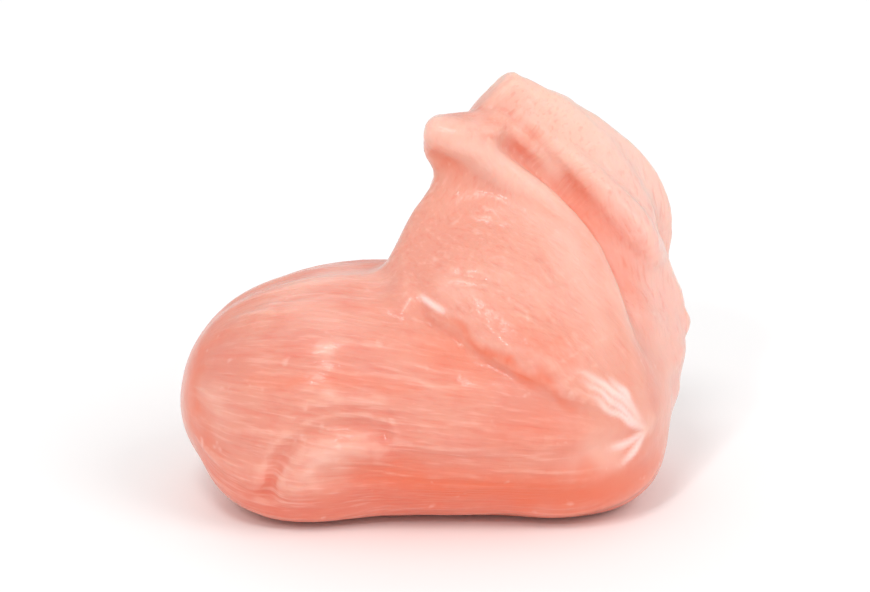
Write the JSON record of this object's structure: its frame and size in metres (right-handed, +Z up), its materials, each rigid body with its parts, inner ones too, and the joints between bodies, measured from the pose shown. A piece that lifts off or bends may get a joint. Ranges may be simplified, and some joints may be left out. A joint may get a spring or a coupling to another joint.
{
  "type": "raw boneless chicken piece",
  "caption": "Bite-size chunk of raw skinless chicken breast: a fat rounded lobe with a flap folded up over it, fibrous and wet, resting on a flat underside.",
  "frame": {"origin": "middle of the underside, below the centre of the bounding box", "axes": "+X from the round lobe towards the folded end, +Y to the back, +Z up"},
  "size_m": [0.0488, 0.0328, 0.0403],
  "materials": {
    "raw_flesh": "wet, slightly translucent raw chicken flesh, salmon pink with paler fat and sinew"
  },
  "bodies": {
    "root": {"chicken_piece": "raw_flesh"}
  },
  "joints": []
}
